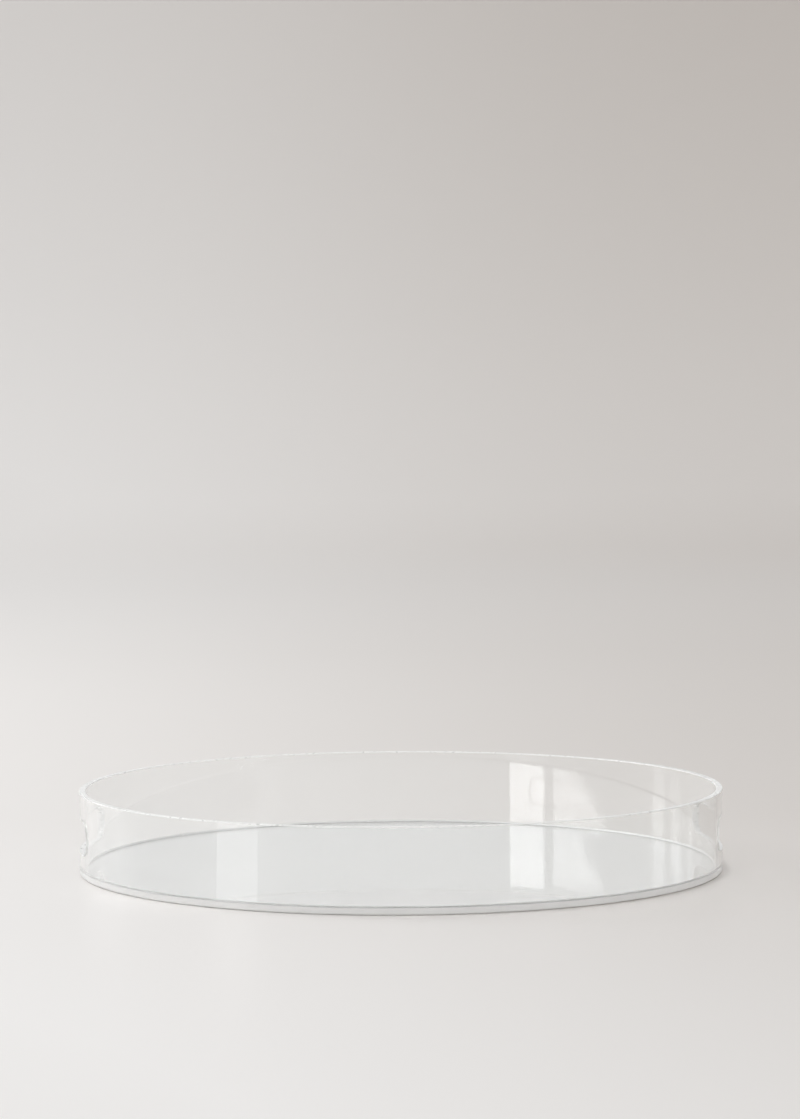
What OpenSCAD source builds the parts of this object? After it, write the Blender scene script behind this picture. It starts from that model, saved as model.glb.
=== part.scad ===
// Round clear tray for a dressing table: a flat base disc with an upright wall
// cemented on top of it, and two hand slots cut through the wall.
// Origin: centre of the underside, on the table. +Z is up, and the slots face +X and -X.

/* [Overall] */
// Outside diameter of the tray
tray_d = 400; // [320:5:460]
// Height from the table to the rim
tray_h = 51; // [46:1:80]

/* [Sheet and tube] */
// Thickness of the wall
wall_t = 4; // [3:0.5:6]
// Thickness of the base disc
base_t = 4; // [3:0.5:6]

/* [Hand slots] */
// Length of each slot from end to end
slot_l = 100; // [80:1:120]
// Height of each slot
slot_h = 20; // [16:0.5:24]
// Height of the slots' centre line above the table
slot_z = 24.5; // [22:0.5:28]

/* [Edges] */
// Width of the small polished bevel on the rim and on the base
edge_c = 0.4; // [0.2:0.1:0.8]

/* [Cement] */
// Thickness of the cement layer under the wall
cement_t = 0.15; // [0.1:0.05:0.3]
// Leg of the cement bead in the inside corner
bead_w = 0.8; // [0.4:0.1:1.2]

/* [Hidden] */
$fn = 180;

clear_acrylic = [0.90, 0.91, 0.90, 0.35];
cement_colour = [0.95, 0.95, 0.94, 0.50];

outer_r = tray_d / 2;
inner_r = outer_r - wall_t;
wall_z = base_t + cement_t;
slot_end_r = slot_h / 2;
slot_straight = slot_l - slot_h;
cut_l = tray_d + 2 * wall_t;

// Flat disc with its lower outer edge bevelled
module base_disc() {
    color(clear_acrylic)
    rotate_extrude()
    polygon([
        [0, 0],
        [outer_r - edge_c, 0],
        [outer_r, edge_c],
        [outer_r, base_t],
        [0, base_t]
    ]);
}

// Outline of one hand slot, long side along X
module slot_outline() {
    square([slot_straight, slot_h], center = true);
    for (side = [-1, 1])
        translate([side * slot_straight / 2, 0])
        circle(r = slot_end_r);
}

// One cutter along X that opens both slots
module slot_cutter() {
    translate([-cut_l / 2, 0, slot_z])
    rotate([90, 0, 90])
    linear_extrude(height = cut_l)
    slot_outline();
}

// Section of the wall, bevelled at both edges of the rim
module wall_section() {
    polygon([
        [inner_r, wall_z],
        [outer_r, wall_z],
        [outer_r, tray_h - edge_c],
        [outer_r - edge_c, tray_h],
        [inner_r + edge_c, tray_h],
        [inner_r, tray_h - edge_c]
    ]);
}

// Slice of tube with the two slots cut straight through
module wall_ring() {
    color(clear_acrylic)
    difference() {
        rotate_extrude()
        wall_section();
        slot_cutter();
    }
}

// Cement layer under the wall, with its bead in the inside corner
module cement_ring() {
    color(cement_colour)
    rotate_extrude()
    polygon([
        [inner_r - bead_w, base_t],
        [outer_r, base_t],
        [outer_r, wall_z],
        [inner_r, wall_z],
        [inner_r, base_t + bead_w]
    ]);
}

base_disc();
wall_ring();
cement_ring();
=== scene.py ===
"""Looks of a round clear acrylic vanity tray: a base disc, a wall ring with two hand slots, and the cement
between them. Metres, +Z up, origin at the centre of the underside, hand slots towards +X and -X."""

import math

import bmesh
import bpy
from mathutils import Matrix, Vector, noise


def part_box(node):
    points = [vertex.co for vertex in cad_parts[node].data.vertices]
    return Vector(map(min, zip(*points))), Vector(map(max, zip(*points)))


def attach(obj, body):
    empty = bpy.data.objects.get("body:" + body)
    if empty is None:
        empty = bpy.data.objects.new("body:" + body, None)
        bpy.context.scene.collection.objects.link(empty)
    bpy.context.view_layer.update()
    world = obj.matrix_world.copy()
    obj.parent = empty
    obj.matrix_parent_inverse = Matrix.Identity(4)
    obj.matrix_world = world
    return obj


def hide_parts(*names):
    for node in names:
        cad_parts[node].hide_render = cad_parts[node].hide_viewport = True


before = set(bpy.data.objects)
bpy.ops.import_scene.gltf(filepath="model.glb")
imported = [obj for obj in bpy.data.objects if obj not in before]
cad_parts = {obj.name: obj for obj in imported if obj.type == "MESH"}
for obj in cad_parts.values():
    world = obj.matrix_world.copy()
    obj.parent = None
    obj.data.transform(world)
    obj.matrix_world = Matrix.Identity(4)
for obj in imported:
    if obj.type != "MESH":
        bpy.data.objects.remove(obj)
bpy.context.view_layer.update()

# ---------------------------------------------------------------------------------------------- sizes

MM = 0.001
base_lo, base_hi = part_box("base_disc")
wall_lo, wall_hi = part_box("wall_ring")
OUTER_R = wall_hi.x
INNER_R = min(math.hypot(v.co.x, v.co.y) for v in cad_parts["wall_ring"].data.vertices)
RIM_Z = wall_hi.z
BASE_TOP = base_hi.z
WALL_FOOT = wall_lo.z

SLOT_L = 100 * MM
SLOT_H = 20 * MM
SLOT_Z = 24.5 * MM

WET = 0.02 * MM  # how far the cement soaks into its neighbours, so that no film of air is left between them
RIM_ROUND = 0.55 * MM  # flame-polished rounding of the rim
SLOT_ROUND = 0.45 * MM  # rounding of the slot edges
BASE_ROUND = 1.2 * MM  # rounding of the base disc's lower edge
SUPPORT = 0.12 * MM  # width of the flat strip that holds each rounding's shading in place
BEAD = 0.8 * MM  # leg of the cement bead in the inside corner


# ---------------------------------------------------------------------------------------- mesh helpers

def mesh_object(name, verts, faces):
    """A closed mesh object from plain lists, with outward normals."""
    mesh = bpy.data.meshes.new(name)
    mesh.from_pydata(verts, [], faces)
    work = bmesh.new()
    work.from_mesh(mesh)
    bmesh.ops.recalc_face_normals(work, faces=work.faces)
    work.to_mesh(mesh)
    work.free()
    mesh.shade_smooth()
    piece = bpy.data.objects.new(name, mesh)
    bpy.context.scene.collection.objects.link(piece)
    return piece


def true_normals(piece, radii):
    """Gives faces that lie on a cylinder of one of radii, or level in a plane, their exact normals."""
    mesh = piece.data
    slack = 0.002 * MM
    normals = [Vector((0, 0, 0))] * len(mesh.loops)
    for face in mesh.polygons:
        corners = [mesh.vertices[i].co for i in face.vertices]
        level = max(c.z for c in corners) - min(c.z for c in corners) < slack
        for loop, corner in zip(face.loop_indices, corners):
            if level:
                normals[loop] = face.normal
                continue
            flat = Vector((corner.x, corner.y, 0))
            if any(all(abs(math.hypot(c.x, c.y) - r) < slack for c in corners) for r in radii):
                outward = 1 if face.normal.dot(flat) > 0 else -1
                normals[loop] = flat.normalized() * outward
    mesh.normals_split_custom_set(normals)


def arc(centre, radius, start, end, steps):
    """Points of an arc in a section plane, angles in degrees, both ends included."""
    points = []
    for i in range(steps + 1):
        a = math.radians(start + (end - start) * i / steps)
        points.append((centre[0] + radius * math.cos(a), centre[1] + radius * math.sin(a)))
    return points


def revolve(name, section, steps, wobble=None):
    """A closed solid of revolution. section holds (radius, z) points in order; radius 0 becomes one point."""
    verts, faces, rings = [], [], []
    for index, (radius, z) in enumerate(section):
        if radius == 0:
            rings.append([len(verts)] * steps)
            verts.append((0, 0, z))
            continue
        ring = []
        for s in range(steps):
            a = 2 * math.pi * s / steps
            r, h = (radius, z) if wobble is None else wobble(index, radius, z, a)
            ring.append(len(verts))
            verts.append((r * math.cos(a), r * math.sin(a), h))
        rings.append(ring)
    closed = section[0][0] != 0
    pairs = list(zip(rings, rings[1:])) + ([(rings[-1], rings[0])] if closed else [])
    for low, high in pairs:
        for s in range(steps):
            t = (s + 1) % steps
            face = [low[s], low[t], high[t], high[s]]
            faces.append(list(dict.fromkeys(face)))
    return mesh_object(name, verts, faces)


# ------------------------------------------------------------------------------------------- base disc

AROUND = 720  # steps round the tray
ARC_STEPS = 8  # steps of the base's rounding and of the bead's hollow face
BASE_RINGS = [0.02, 0.06, 0.11, 0.16]  # radii of the rings of faces on the flat sides of the base


def make_base():
    """The base disc with its lower edge rounded."""
    r, z0, z1 = OUTER_R, base_lo.z, BASE_TOP
    low = arc((r - BASE_ROUND, z0 + BASE_ROUND), BASE_ROUND, -90, 0, ARC_STEPS)
    section = [(0, z0)] + [(k, z0) for k in BASE_RINGS] + [(r - BASE_ROUND - SUPPORT, z0)] + low
    section += [(r, z0 + BASE_ROUND + SUPPORT), (r, z1), (INNER_R, z1)]
    section += [(k, z1) for k in reversed(BASE_RINGS)] + [(0, z1)]
    piece = revolve("clear_base", section, AROUND)
    true_normals(piece, [OUTER_R])
    edge_r = r - BASE_ROUND - 2 * SUPPORT
    for face in piece.data.polygons:
        corners = [piece.data.vertices[i].co for i in face.vertices]
        if min(math.hypot(c.x, c.y) for c in corners) > edge_r and min(c.z for c in corners) < z1 - SUPPORT:
            face.material_index = 1
    return piece


# ----------------------------------------------------------------------------------------- cement ring

def make_cement():
    """The cement: a thin layer under the wall, and a hollow-faced bead in the inside corner, both uneven."""
    low, high = BASE_TOP - WET, WALL_FOOT + WET
    back = INNER_R + WET
    curve = arc((INNER_R - BEAD, BASE_TOP + BEAD), BEAD - WET, -90, 0, ARC_STEPS)
    section = [(curve[0][0], low)] + curve + [(back, curve[-1][1]), (back, high)]
    section += [(OUTER_R - WET / 4, high), (OUTER_R - WET / 4, low)]
    last_bead = len(curve)

    def uneven(index, radius, z, angle):
        here = Vector((math.cos(angle) * 9, math.sin(angle) * 9, 1.7))
        swell = 0.12 * noise.noise(here) + 0.06 * noise.noise(here * 5)
        if 0 < index <= last_bead:
            share = (back - radius) / BEAD
            radius += swell * BEAD * share
            z = low + (z - low) * (1 + swell * (1 - share))
        elif index > last_bead + 2:
            radius -= abs(swell) * WET
        return radius, z

    return revolve("cement_bead", section, AROUND, uneven)


# ------------------------------------------------------------------------------------------- wall ring

PATCH_HALF = 64 * MM  # half width of the patch of wall that holds a slot
PATCH_COLUMNS = 88
ARC_COLUMNS = 312
LEVELS = 22
SPREAD = 7  # rings of faces between a slot and the edge of its patch
RIM_ROUND_STEPS = 6
SLOT_ROUND_STEPS = 5
SLOT_WALL_STEPS = 4


def wall_columns():
    """The ring's upright lines in order: ((x, y) outside, (x, y) inside), with each patch's first index."""
    columns, patches = [], []
    for side in (1, -1):
        patches.append(len(columns))
        for i in range(PATCH_COLUMNS):
            y = side * PATCH_HALF * (2 * i / PATCH_COLUMNS - 1)
            columns.append(tuple((side * math.sqrt(r * r - y * y), y) for r in (OUTER_R, INNER_R)))
        ends = [math.asin(PATCH_HALF / r) for r in (OUTER_R, INNER_R)]
        for i in range(ARC_COLUMNS):
            pair = []
            for r, end in zip((OUTER_R, INNER_R), ends):
                a = end + (math.pi - 2 * end) * i / ARC_COLUMNS + (0 if side == 1 else math.pi)
                pair.append((r * math.cos(a), r * math.sin(a)))
            columns.append(tuple(pair))
    return columns, patches


def wall_levels():
    """Heights of the grid lines on both faces of the wall."""
    low, high = WALL_FOOT, RIM_Z - RIM_ROUND
    held = high - SUPPORT
    return [low + (held - low) * i / (LEVELS - 1) for i in range(LEVELS)] + [high]


def nearest_on_slot(y, z):
    """The slot outline's point nearest to (y, z), and the direction from the outline into the wall."""
    half = SLOT_L / 2 - SLOT_H / 2
    cy = max(-half, min(half, y))
    away = Vector((y - cy, z - SLOT_Z)).normalized()
    return (cy + away.x * SLOT_H / 2, SLOT_Z + away.y * SLOT_H / 2), away


def make_wall():
    """The wall ring with both slots, the edges of its rim and slots rounded, as one closed mesh."""
    columns, patches = wall_columns()
    levels = wall_levels()
    count, top = len(columns), len(levels) - 1
    verts, faces, known = [], [], {}

    def vert(key, co):
        if key not in known:
            known[key] = len(verts)
            verts.append(co)
        return known[key]

    def grid(face, column, level):
        column %= count
        x, y = columns[column][face]
        return vert(("grid", face, column, level), (x, y, levels[level]))

    def in_patch(column):
        return any(first <= column < first + PATCH_COLUMNS for first in patches)

    for face in (0, 1):
        for column in range(count):
            if in_patch(column):
                continue
            for level in range(top):
                faces.append([grid(face, column, level), grid(face, column + 1, level),
                              grid(face, column + 1, level + 1), grid(face, column, level + 1)])

    def across(column, inset, z, tag):
        """A point between the wall's faces at one column, inset from the outer face."""
        column %= count
        (xo, yo), (xi, yi) = columns[column]
        share = inset / (OUTER_R - INNER_R)
        return vert(("over", tag, column), (xo + (xi - xo) * share, yo + (yi - yo) * share, z))

    wall_t = OUTER_R - INNER_R
    turn = arc((RIM_ROUND, RIM_Z - RIM_ROUND), RIM_ROUND, 180, 90, RIM_ROUND_STEPS)
    over = turn[1:] + [(RIM_ROUND + SUPPORT, RIM_Z)]
    over += [(wall_t - inset, z) for inset, z in reversed(over)]
    for column in range(count):
        rows = []
        for c in (column, column + 1):
            row = [across(c, inset, z, i) for i, (inset, z) in enumerate(over)]
            rows.append([grid(0, c, top)] + row + [grid(1, c, top)])
        for i in range(len(rows[0]) - 1):
            faces.append([rows[0][i], rows[1][i], rows[1][i + 1], rows[0][i + 1]])
        faces.append([grid(0, column, 0), grid(0, column + 1, 0), grid(1, column + 1, 0), grid(1, column, 0)])

    for patch, first in enumerate(patches):
        side = 1 if patch == 0 else -1
        border = [(c, 0) for c in range(PATCH_COLUMNS)]
        border += [(PATCH_COLUMNS, level) for level in range(top)]
        border += [(c, top) for c in range(PATCH_COLUMNS, 0, -1)]
        border += [(0, level) for level in range(top, 0, -1)]
        spokes = []
        for c, level in border:
            rows = []
            for face, r in ((0, OUTER_R), (1, INNER_R)):
                y = columns[(first + c) % count][face][1]
                z = levels[level]
                (sy, sz), away = nearest_on_slot(y, z)
                row = [grid(face, first + c, level)]
                start = Vector((sy, sz)) + away * SLOT_ROUND
                held = Vector((sy, sz)) + away * (SLOT_ROUND + SUPPORT)
                stops = [Vector((y, z)).lerp(held, (i + 1) / SPREAD) for i in range(SPREAD)] + [start]
                for i, p in enumerate(stops):
                    x = side * math.sqrt(r * r - p.x * p.x)
                    row.append(vert(("spread", patch, face, c, level, i), (x, p.x, p.y)))
                corner = Vector((side * math.sqrt(r * r - sy * sy), sy, sz))
                first_point = Vector(verts[row[-1]])
                inward = -side if face == 0 else side
                last_point = corner + Vector((inward * SLOT_ROUND, 0, 0))
                for i in range(1, SLOT_ROUND_STEPS + 1):
                    t = i / SLOT_ROUND_STEPS
                    p = first_point * (1 - t) ** 2 + corner * (2 * t * (1 - t)) + last_point * t * t
                    row.append(vert(("round", patch, face, c, level, i), tuple(p)))
                held_x = last_point + Vector((inward * SUPPORT, 0, 0))
                row.append(vert(("held", patch, face, c, level), tuple(held_x)))
                rows.append(row)
            outer_end, inner_end = Vector(verts[rows[0][-1]]), Vector(verts[rows[1][-1]])
            between = []
            for i in range(1, SLOT_WALL_STEPS):
                p = outer_end.lerp(inner_end, i / SLOT_WALL_STEPS)
                between.append(vert(("through", patch, c, level, i), tuple(p)))
            spokes.append(rows[0] + between + rows[1][::-1])
        for i, spoke in enumerate(spokes):
            following = spokes[(i + 1) % len(spokes)]
            for k in range(len(spoke) - 1):
                faces.append([spoke[k], following[k], following[k + 1], spoke[k + 1]])

    piece = mesh_object("clear_wall", verts, faces)
    true_normals(piece, [OUTER_R, INNER_R])
    sawn = {index for key, index in known.items() if key[0] in ("over", "round", "held", "through")}
    for face in piece.data.polygons:
        if sum(i in sawn for i in face.vertices) > 1:
            face.material_index = 1
    return piece


# ------------------------------------------------------------------------------------------- materials

class Tree:
    """Short forms for building one material's node tree."""

    def __init__(self, name):
        self.material = bpy.data.materials.new(name)
        self.material.use_nodes = True
        self.nodes = self.material.node_tree.nodes
        self.links = self.material.node_tree.links
        self.nodes.clear()

    def add(self, kind, inputs=None, **settings):
        """Adds a node. inputs maps a socket's name or number to a value or to another node's output."""
        node = self.nodes.new(kind)
        for key, value in settings.items():
            setattr(node, key, value)
        for key, value in (inputs or {}).items():
            if isinstance(value, bpy.types.NodeSocket):
                self.links.new(value, node.inputs[key])
            else:
                node.inputs[key].default_value = value
        return node

    def ramp(self, fac, stops):
        """A colour ramp. stops holds (place, grey level) or (place, colour)."""
        node = self.add("ShaderNodeValToRGB", {"Fac": fac})
        elements = node.color_ramp.elements
        while len(elements) < len(stops):
            elements.new(0.5)
        for element, (place, colour) in zip(elements, stops):
            element.position = place
            element.color = (*colour, 1) if isinstance(colour, tuple) else (colour, colour, colour, 1)
        return node.outputs["Color"]


ACRYLIC_IOR = 1.49
MARK_DEPTH = 0.02 * MM  # depth of scratches, waves and frosting


def acrylic(name, tint, rough, wave_scale, wave_height, seed):
    """Clear polished acrylic: smudges, fine hairline scratches and the slight waviness of cast stock."""
    t = Tree(name)
    place = t.add("ShaderNodeTexCoord").outputs["Object"]
    moved = t.add("ShaderNodeMapping", {"Vector": place, "Location": (seed, seed * 0.37, seed * 0.71)}).outputs[0]

    smudge = t.add("ShaderNodeTexNoise", {"Vector": moved, "Scale": 14, "Detail": 5, "Roughness": 0.6})
    roughness = t.ramp(smudge.outputs["Fac"], [(0.45, rough), (0.8, rough + 0.05)])

    wave = t.add("ShaderNodeTexNoise", {"Vector": moved, "Scale": wave_scale, "Detail": 1.5})
    soft = t.add("ShaderNodeBump", {"Height": wave.outputs["Fac"], "Strength": 1.0, "Distance": wave_height})

    line = t.add("ShaderNodeTexVoronoi", {"Vector": moved, "Scale": 23, "Randomness": 1},
                 feature="DISTANCE_TO_EDGE")
    patchy = t.add("ShaderNodeTexNoise", {"Vector": moved, "Scale": 31, "Detail": 2})
    hair = t.ramp(line.outputs["Distance"], [(0.0, 1.0), (0.004, 0.0)])
    kept = t.ramp(patchy.outputs["Fac"], [(0.60, 0.0), (0.68, 1.0)])
    scratch = t.add("ShaderNodeMath", {0: hair, 1: kept}, operation="MULTIPLY").outputs[0]
    bump = t.add("ShaderNodeBump", {"Height": scratch, "Strength": 0.15, "Distance": MARK_DEPTH,
                                    "Normal": soft.outputs[0]}, invert=True)

    glass = t.add("ShaderNodeBsdfPrincipled", {"Base Color": (*tint, 1), "Roughness": roughness,
                                               "IOR": ACRYLIC_IOR, "Transmission Weight": 1.0,
                                               "Normal": bump.outputs[0]})
    t.add("ShaderNodeOutputMaterial", {"Surface": glass.outputs[0]})
    return t.material


def satin(name, clear, rough, grain, seed):
    """Acrylic that is not fully clear: sanded edges and cement, with a fine frosting that catches the light."""
    t = Tree(name)
    place = t.add("ShaderNodeTexCoord").outputs["Object"]
    moved = t.add("ShaderNodeMapping", {"Vector": place, "Location": (seed, seed * 0.37, seed * 0.71)}).outputs[0]
    marks = t.add("ShaderNodeTexNoise", {"Vector": moved, "Scale": grain, "Detail": 3})
    roughness = t.ramp(marks.outputs["Fac"], [(0.3, rough), (0.7, rough + 0.12)])
    bump = t.add("ShaderNodeBump", {"Height": marks.outputs["Fac"], "Strength": 0.15, "Distance": MARK_DEPTH})
    glass = t.add("ShaderNodeBsdfPrincipled", {"Base Color": (0.985, 0.99, 0.985, 1), "Roughness": roughness,
                                               "IOR": ACRYLIC_IOR, "Transmission Weight": clear,
                                               "Normal": bump.outputs[0]})
    t.add("ShaderNodeOutputMaterial", {"Surface": glass.outputs[0]})
    return t.material


def dress(piece, materials, node):
    """Gives a piece its materials and its place in the frame."""
    for material in materials:
        piece.data.materials.append(material)
    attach(piece, "root")
    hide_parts(node)


sheet = acrylic("acrylic_sheet", (0.995, 0.998, 0.997), 0.015, 9, MARK_DEPTH, 3.1)
tube = acrylic("acrylic_tube", (0.990, 0.998, 0.997), 0.012, 12, MARK_DEPTH, 11.7)
cement = satin("acrylic_cement", 0.2, 0.3, 160, 23.9)
rim = satin("acrylic_sanded_rim", 0.4, 0.25, 420, 31.3)
foot = satin("acrylic_sanded_foot", 0.3, 0.3, 420, 47.9)

dress(make_base(), [sheet, foot], "base_disc")
dress(make_wall(), [tube, rim], "wall_ring")
dress(make_cement(), [cement], "cement_ring")


# ------------------------------------------------------------------------------------------------ stage

FLOOR_Z = base_lo.z - 0.1 * MM
FLOOR_R = 2.8
STAGE_R = 5.2
STAGE_TOP = 1.9
STAGE_CURVE = 2.6  # how late the floor starts to rise


def make_stage():
    """A pale round floor that curves up slowly all round, so that no edge shows from any side."""
    steps, rise_steps = 128, 40
    section = [(0, FLOOR_Z), (0.5, FLOOR_Z), (1.5, FLOOR_Z)]
    for i in range(rise_steps + 1):
        share = i / rise_steps
        section.append((FLOOR_R + (STAGE_R - FLOOR_R) * share, FLOOR_Z + STAGE_TOP * share ** STAGE_CURVE))
    verts, faces = [], []
    for radius, z in section:
        for s in range(steps):
            a = 2 * math.pi * s / steps
            verts.append((radius * math.cos(a), radius * math.sin(a), z))
    for row in range(len(section) - 1):
        for s in range(steps):
            t = (s + 1) % steps
            faces.append([row * steps + s, row * steps + t, (row + 1) * steps + t, (row + 1) * steps + s])
    mesh = bpy.data.meshes.new("studio_floor")
    mesh.from_pydata(verts, [], faces)
    mesh.shade_smooth()
    floor = bpy.data.objects.new("studio_floor", mesh)
    bpy.context.scene.collection.objects.link(floor)
    return floor


# Painted light and shade on the paper: how dark its colour is painted, from the front (0) to the top of the
# backdrop (1), set against the photo.
PAINTED_SHADE_TONES = [(0.033, 0.08), (0.076, 0.20), (0.103, 0.286), (0.177, 0.45), (0.256, 0.479), (0.371, 0.455),
               (0.50, 0.34), (0.647, 0.184), (0.776, 0.34), (0.929, 0.489)]


def painted_shade_paper():
    """Smooth pale paper with painted light and shade: its colour is painted near white towards the window side
    and the front, and painted warm grey shade up and to the right.
    """
    t = Tree("painted_shade_paper")
    place = t.add("ShaderNodeTexCoord").outputs["Object"]
    split = t.add("ShaderNodeSeparateXYZ", {0: place})

    def math_node(operation, first, second=0.0):
        return t.add("ShaderNodeMath", {0: first, 1: second}, operation=operation).outputs[0]

    def ranged(value, low, high, to_low, to_high):
        return t.add("ShaderNodeMapRange", {"Value": value, "From Min": low, "From Max": high,
                                            "To Min": to_low, "To Max": to_high}).outputs[0]

    # Painted light and shade: the paper's colour is painted paler on the window side (-X) and darker on the other
    # side, in a fan that widens towards the back and fades out in front.
    width = ranged(split.outputs["Y"], 0.0, 5.0, 0.27, 0.62)
    fade = ranged(split.outputs["Y"], -2.5, -0.9, 0.0, 0.28)
    painted_side_shade = math_node("ARCTANGENT", math_node("DIVIDE", split.outputs["X"], width))
    painted_side_shade = math_node("MULTIPLY", painted_side_shade, fade)
    # Painted shade that changes with depth and height on the floor and backdrop, from the tones above.
    climb = ranged(math_node("ADD", split.outputs["Y"], split.outputs["Z"]), -1.0, 6.0, 0.0, 1.0)
    depth = t.ramp(climb, PAINTED_SHADE_TONES)
    painted_shade_level = math_node("ADD", painted_side_shade, depth)
    # The painted light and shade picks the paper's colour, between pale and warm grey.
    colour = t.ramp(painted_shade_level, [(0.0, (0.855, 0.842, 0.832)), (1.0, (0.491, 0.445, 0.407))])
    grain = t.add("ShaderNodeTexNoise", {"Vector": place, "Scale": 900, "Detail": 2})
    bump = t.add("ShaderNodeBump", {"Height": grain.outputs["Fac"], "Strength": 0.1, "Distance": 0.05 * MM})
    paper = t.add("ShaderNodeBsdfPrincipled", {"Base Color": colour, "Roughness": 0.38,
                                               "Normal": bump.outputs[0]})
    t.add("ShaderNodeOutputMaterial", {"Surface": paper.outputs[0]})
    return t.material


floor = make_stage()
floor.data.materials.append(painted_shade_paper())


# ------------------------------------------------------------------------------------------------ light

def soft_light(name, place, look_at, size, power):
    """A rectangular area light aimed at a point, unseen by the camera itself."""
    lamp = bpy.data.lights.new(name, "AREA")
    lamp.shape = "RECTANGLE"
    lamp.size, lamp.size_y = size
    lamp.energy = power
    lamp_object = bpy.data.objects.new(name, lamp)
    lamp_object.location = place
    lamp_object.rotation_euler = (Vector(look_at) - Vector(place)).to_track_quat("-Z", "Y").to_euler()
    lamp_object.visible_camera = False
    bpy.context.scene.collection.objects.link(lamp_object)


def glow_panel(name, radius, rows, levels):
    """A bright upright panel that only shows in the tray: part of a cylinder round it.

    rows holds (height, first angle, last angle), angles clockwise from the front in degrees. levels holds
    (angle, radiance) stops.
    """
    across = 60
    verts, faces = [], []
    for z, first, last in rows:
        for i in range(across + 1):
            a = math.radians(first + (last - first) * i / across)
            verts.append((-radius * math.sin(a), -radius * math.cos(a), z))
    for row in range(len(rows) - 1):
        for i in range(across):
            k = row * (across + 1) + i
            faces.append([k, k + 1, k + across + 2, k + across + 1])
    mesh = bpy.data.meshes.new(name)
    mesh.from_pydata(verts, [], faces)
    mesh.shade_smooth()
    glow(name, mesh, levels)


def glow_patch(name, first, last, length, radiance):
    """A bright patch on the table in front of the tray, as from a window, for the wall's outside to mirror.

    The angles are places on the wall, clockwise from the front in degrees. The patch leaves the wall at twice
    that angle, as a mirrored ray from the front does. From behind, it shows as a glint at the wall's edge.
    """
    across, clear = 24, 0.02
    verts, faces = [], []
    for i in range(across + 1):
        a = math.radians(first + (last - first) * i / across)
        for reach in (clear, length):
            verts.append((-OUTER_R * math.sin(a) - reach * math.sin(2 * a),
                          -OUTER_R * math.cos(a) - reach * math.cos(2 * a), FLOOR_Z + 0.3 * MM))
    for i in range(across):
        faces.append([2 * i, 2 * i + 2, 2 * i + 3, 2 * i + 1])
    mesh = bpy.data.meshes.new(name)
    mesh.from_pydata(verts, [], faces)
    glow(name, mesh, [(0, radiance)], one_sided=True)


def glow(name, mesh, levels, one_sided=False):
    """Turns a mesh into an even or angle-dependent light that the camera and matt surfaces do not see."""
    panel = bpy.data.objects.new(name, mesh)
    bpy.context.scene.collection.objects.link(panel)
    t = Tree(name)
    strongest = max(value for _, value in levels)
    if len(levels) > 1:
        split = t.add("ShaderNodeSeparateXYZ", {0: t.add("ShaderNodeTexCoord").outputs["Object"]})
        mirrored = [t.add("ShaderNodeMath", {0: split.outputs[axis], 1: -1.0}, operation="MULTIPLY").outputs[0]
                    for axis in ("X", "Y")]
        around = t.add("ShaderNodeMath", {0: mirrored[0], 1: mirrored[1]}, operation="ARCTAN2").outputs[0]
        share = t.add("ShaderNodeMapRange", {"Value": around, "From Min": -math.pi, "From Max": math.pi})
        colour = t.ramp(share.outputs[0], [((angle + 180) / 360, value / strongest) for angle, value in levels])
        light = t.add("ShaderNodeEmission", {"Color": colour, "Strength": strongest})
    else:
        light = t.add("ShaderNodeEmission", {"Color": (1, 1, 1, 1), "Strength": strongest})
    if one_sided:
        behind = t.add("ShaderNodeNewGeometry").outputs["Backfacing"]
        through = t.add("ShaderNodeBsdfTransparent")
        light = t.add("ShaderNodeMixShader", {0: behind, 1: light.outputs[0], 2: through.outputs[0]})
    t.add("ShaderNodeOutputMaterial", {"Surface": light.outputs[0]})
    mesh.materials.append(t.material)
    panel.visible_camera = False
    panel.visible_diffuse = False
    panel.visible_shadow = False
    panel.visible_transmission = not one_sided


world = bpy.data.worlds.new("studio_air")
world.use_nodes = True
sky = world.node_tree.nodes["Background"]
sky.inputs["Color"].default_value = (1.0, 0.995, 0.99, 1)
sky.inputs["Strength"].default_value = 0.85
bpy.context.scene.world = world

soft_light("window", (-1.9, 0.9, 1.7), (0, 0, 0), (0.9, 1.3), 25.0)
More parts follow.
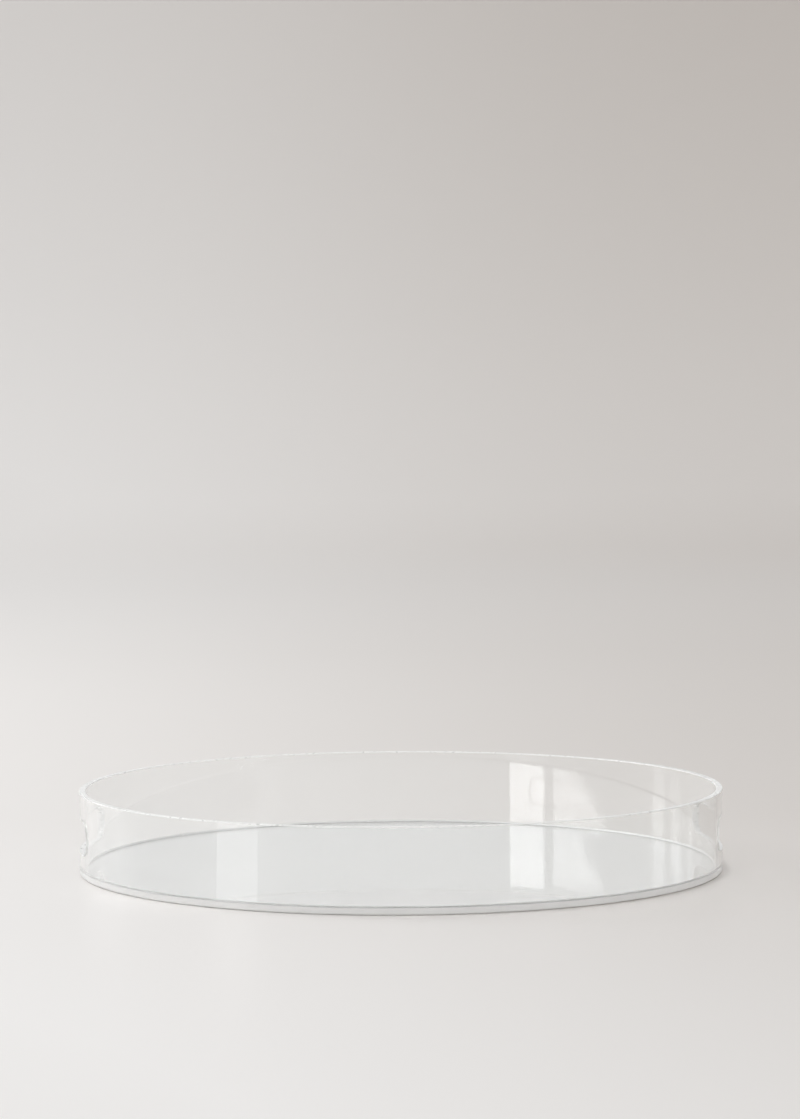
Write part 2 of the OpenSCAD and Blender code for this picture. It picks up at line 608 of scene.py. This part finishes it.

# Brightness of the room round the tray, as (angle, radiance), set against the photo's reflections.
ROOM_LEVELS = [(-180, 0.72), (-174, 0.72), (-165, 0.7), (-140, 0.44), (-115, 0.36), (-85, 0.45), (-58, 0.6),
               (-56, 1.0), (-47, 0.95), (-45, 0.85), (0, 1.05), (50, 1.25), (80, 1.2), (113.5, 1.2), (114.5, 2.3),
               (121, 2.2), (122, 1.2), (127.5, 1.15), (128.5, 2.1), (134.5, 2.0), (135.5, 1.1), (141.5, 1.05),
               (142.5, 1.8), (147, 1.7), (148, 0.88), (160, 0.79), (174, 0.75), (180, 0.72)]
STRIP_TOP = 0.203
STRIP_SIDES = (47.7, 63.1)
PANES_TOP = 0.531
PANES_SIDE = 63.2
glow_panel("room_glow", 3.3, [(0.12, -180, 180), (1.3, -180, 180)], ROOM_LEVELS)
glow_panel("window_strip", 0.905, [(0.02, *STRIP_SIDES), (STRIP_TOP, *STRIP_SIDES)], [(0, 5.5)])
PANES_ROWS = [(0.20, 63.3), (0.300, 64.0), (0.349, 72.7), (0.441, 90.0), (0.446, 74.0), (PANES_TOP, 87.4)]
glow_panel("window_panes", 3.2, [(z, PANES_SIDE, far_side) for z, far_side in PANES_ROWS], [(0, 4.1)])
glow_patch("strip_patch", 26.2, 34.3, 0.5, 2.4)


# ----------------------------------------------------------------------------------------------- camera

CAM_DISTANCE = 2.5
CAM_ELEVATION = math.radians(7.357)
CAM_TURN = math.radians(-1.4)
CAM_PITCH = math.radians(-3.533)
CAM_ROLL = math.radians(-0.314)
CAM_YAW = math.radians(0.007)
LENS_MM = 128.6
SENSOR_MM = 36

camera_data = bpy.data.cameras.new("camera")
camera_data.lens = LENS_MM
camera_data.sensor_width = SENSOR_MM
camera = bpy.data.objects.new("camera", camera_data)
bpy.context.scene.collection.objects.link(camera)
bpy.context.scene.camera = camera
eye = Vector((0, -CAM_DISTANCE * math.cos(CAM_ELEVATION),
              CAM_DISTANCE * math.sin(CAM_ELEVATION) + RIM_Z / 2))
turn = Matrix.Rotation(CAM_TURN, 4, "Z")
aim = (Matrix.Rotation(-CAM_YAW, 4, "Z") @ Matrix.Rotation(math.pi / 2 + CAM_PITCH, 4, "X")
       @ Matrix.Rotation(CAM_ROLL, 4, "Z"))
camera.matrix_world = turn @ Matrix.Translation(eye) @ aim

scene = bpy.context.scene
scene.view_settings.view_transform = "Standard"
scene.cycles.max_bounces = 200  # light turns back many times inside clear sheet before it leaves by an edge
scene.cycles.glossy_bounces = 180
scene.cycles.transmission_bounces = 60
scene.cycles.transparent_max_bounces = 48
scene.cycles.blur_glossy = 0.0  # keeps the light under the clear base from being lost
